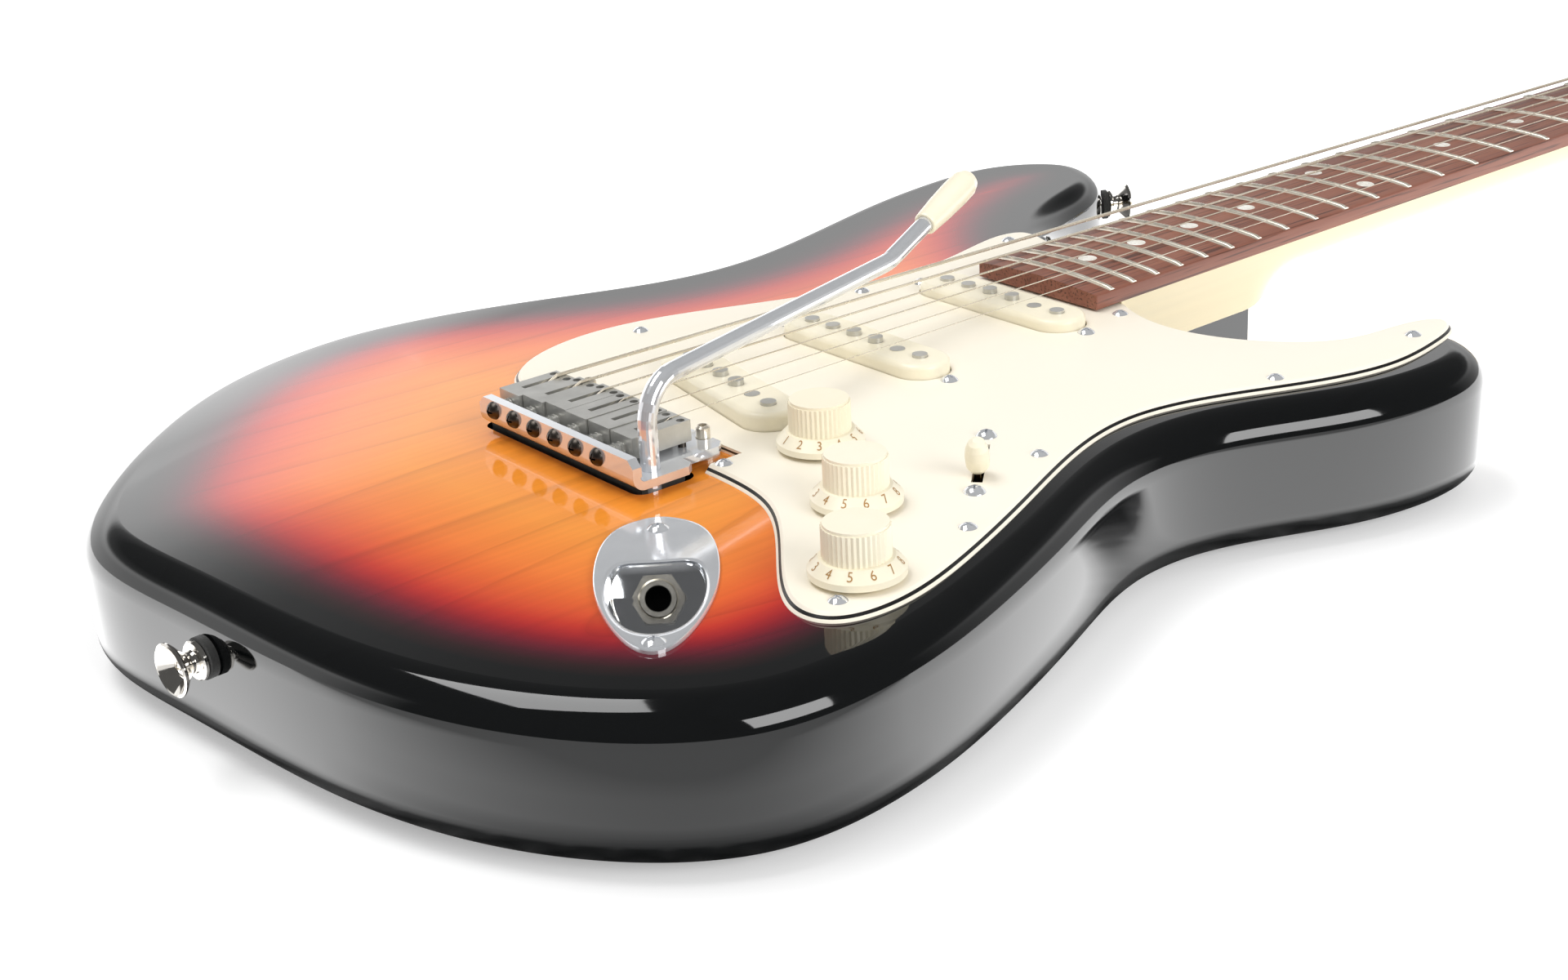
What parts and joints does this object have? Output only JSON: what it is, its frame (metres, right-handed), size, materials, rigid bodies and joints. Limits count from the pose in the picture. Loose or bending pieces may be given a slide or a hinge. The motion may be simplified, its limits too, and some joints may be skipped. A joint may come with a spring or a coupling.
{
  "type": "electric guitar",
  "caption": "Solid-body electric guitar with sunburst body, white pickguard, single-coil pickups, two-point tremolo and bolt-on neck.",
  "frame": {"origin": "the plane that the back cover and neck plate lie on, under the scale line at the bridge, midway between the strings", "axes": "+X along the strings towards the headstock, +Y towards the bass side, +Z out of the front"},
  "size_m": [0.99, 0.329, 0.0944],
  "materials": {
    "sunburst": "gloss sunburst lacquer",
    "white_plastic": "gloss",
    "aged_plastic": "semi-gloss",
    "black_plastic": "satin",
    "chrome": "mirror",
    "nickel": "satin nickel",
    "steel": "satin",
    "dark_steel": "black oxide",
    "cast_block": "grey",
    "brass": "satin",
    "maple": "satin lacquer",
    "rosewood": "oiled",
    "pearl": "pearl",
    "bone": "satin",
    "felt": "felt"
  },
  "bodies": {
    "guitar": {"body": "sunburst", "pickguard": "white_plastic", "pickguard_screws": "chrome", "pickup_covers": "aged_plastic", "pickup_bobbins": "black_plastic", "pole_pieces": "steel", "pickup_screws": "chrome", "potentiometers": "steel", "switch_frame": "brass", "switch_screws": "chrome", "jack_plate": "chrome", "jack_socket": "nickel", "jack_nut": "nickel", "jack_screws": "chrome", "pivot_studs": "nickel", "stud_bushings": "steel", "tremolo_springs": "steel", "spring_claw": "steel", "claw_screws": "steel", "back_cover": "white_plastic", "back_cover_screws": "chrome", "neck_plate": "chrome", "neck_screws": "chrome", "neck": "maple", "fingerboard": "rosewood", "frets": "nickel", "inlays": "pearl", "nut": "bone", "string_trees": "nickel", "tuner_housings": "chrome", "strings": "nickel", "strap_buttons": "nickel", "felt_washers": "felt", "strap_screws": "nickel"},
    "tremolo": {"bridge_plate": "chrome", "saddles": "steel", "saddle_height_screws": "dark_steel", "intonation_screws": "dark_steel", "intonation_springs": "steel", "inertia_block": "cast_block", "block_screws": "dark_steel"},
    "arm": {"tremolo_arm": "chrome", "arm_tip": "aged_plastic"},
    "volume_knob": {"volume_knob": "aged_plastic"},
    "tone_knob_1": {"tone_knob_1": "aged_plastic"},
    "tone_knob_2": {"tone_knob_2": "aged_plastic"},
    "switch": {"switch_lever": "brass", "switch_tip": "aged_plastic"},
    "post_1": {"tuner_post_1": "chrome"},
    "button_1": {"tuner_button_1": "chrome"},
    "post_2": {"tuner_post_2": "chrome"},
    "button_2": {"tuner_button_2": "chrome"},
    "post_3": {"tuner_post_3": "chrome"},
    "button_3": {"tuner_button_3": "chrome"},
    "post_4": {"tuner_post_4": "chrome"},
    "button_4": {"tuner_button_4": "chrome"},
    "post_5": {"tuner_post_5": "chrome"},
    "button_5": {"tuner_button_5": "chrome"},
    "post_6": {"tuner_post_6": "chrome"},
    "button_6": {"tuner_button_6": "chrome"}
  },
  "joints": [
    {"name": "tremolo_pivot", "type": "hinge", "parent": "guitar", "child": "tremolo", "pos_m": [0.0105, 0, 0.05035], "axis": [0, 1, 0], "range_deg": [-3.5, 6], "stiffness_Nm_per_rad": 15, "deforming": ["strings", "tremolo_springs"]},
    {"name": "arm_swivel", "type": "hinge", "parent": "tremolo", "child": "arm", "pos_m": [-0.0145, -0.0365, 0.05], "axis": [0, 0, 1], "range_deg": [-100, 30]},
    {"name": "volume_knob_turn", "type": "hinge", "parent": "guitar", "child": "volume_knob", "pos_m": [0.0338, -0.0527, 0.055], "axis": [0, 0, 1], "range_deg": [-200, 80]},
    {"name": "tone_knob_1_turn", "type": "hinge", "parent": "guitar", "child": "tone_knob_1", "pos_m": [0.0138, -0.0912, 0.055], "axis": [0, 0, 1], "range_deg": [-200, 80]},
    {"name": "tone_knob_2_turn", "type": "hinge", "parent": "guitar", "child": "tone_knob_2", "pos_m": [-0.0162, -0.1257, 0.055], "axis": [0, 0, 1], "range_deg": [-200, 80]},
    {"name": "switch_lever_swing", "type": "hinge", "parent": "guitar", "child": "switch", "pos_m": [0.057, -0.094, 0.03275], "axis": [-0.6626, 0.749, 0], "range_deg": [0, 50]},
    {"name": "button_1_turn", "type": "hinge", "parent": "guitar", "child": "button_1", "pos_m": [0.682, 0.0198, 0.02695], "axis": [0.2742, 0.9617, 0], "continuous": true},
    {"name": "post_1_turn", "type": "hinge", "parent": "guitar", "child": "post_1", "pos_m": [0.682, 0.0198, 0.05], "axis": [0, 0, 1], "continuous": true},
    {"name": "button_2_turn", "type": "hinge", "parent": "guitar", "child": "button_2", "pos_m": [0.7069, 0.0127, 0.02695], "axis": [0.2742, 0.9617, 0], "continuous": true},
    {"name": "post_2_turn", "type": "hinge", "parent": "guitar", "child": "post_2", "pos_m": [0.7069, 0.0127, 0.05], "axis": [0, 0, 1], "continuous": true},
    {"name": "button_3_turn", "type": "hinge", "parent": "guitar", "child": "button_3", "pos_m": [0.7318, 0.0056, 0.02695], "axis": [0.2742, 0.9617, 0], "continuous": true},
    {"name": "post_3_turn", "type": "hinge", "parent": "guitar", "child": "post_3", "pos_m": [0.7318, 0.0056, 0.05], "axis": [0, 0, 1], "continuous": true},
    {"name": "button_4_turn", "type": "hinge", "parent": "guitar", "child": "button_4", "pos_m": [0.7567, -0.0015, 0.02695], "axis": [0.2742, 0.9617, 0], "continuous": true},
    {"name": "post_4_turn", "type": "hinge", "parent": "guitar", "child": "post_4", "pos_m": [0.7567, -0.0015, 0.05], "axis": [0, 0, 1], "continuous": true},
    {"name": "button_5_turn", "type": "hinge", "parent": "guitar", "child": "button_5", "pos_m": [0.7816, -0.0086, 0.02695], "axis": [0.2742, 0.9617, 0], "continuous": true},
    {"name": "post_5_turn", "type": "hinge", "parent": "guitar", "child": "post_5", "pos_m": [0.7816, -0.0086, 0.05], "axis": [0, 0, 1], "continuous": true},
    {"name": "button_6_turn", "type": "hinge", "parent": "guitar", "child": "button_6", "pos_m": [0.8065, -0.0157, 0.02695], "axis": [0.2742, 0.9617, 0], "continuous": true},
    {"name": "post_6_turn", "type": "hinge", "parent": "guitar", "child": "post_6", "pos_m": [0.8065, -0.0157, 0.05], "axis": [0, 0, 1], "continuous": true}
  ],
  "couplings": [
    {"joint": "post_1_turn", "follows": "button_1_turn", "ratio": 0.055556},
    {"joint": "post_2_turn", "follows": "button_2_turn", "ratio": 0.055556},
    {"joint": "post_3_turn", "follows": "button_3_turn", "ratio": 0.055556},
    {"joint": "post_4_turn", "follows": "button_4_turn", "ratio": 0.055556},
    {"joint": "post_5_turn", "follows": "button_5_turn", "ratio": 0.055556},
    {"joint": "post_6_turn", "follows": "button_6_turn", "ratio": 0.055556}
  ]
}
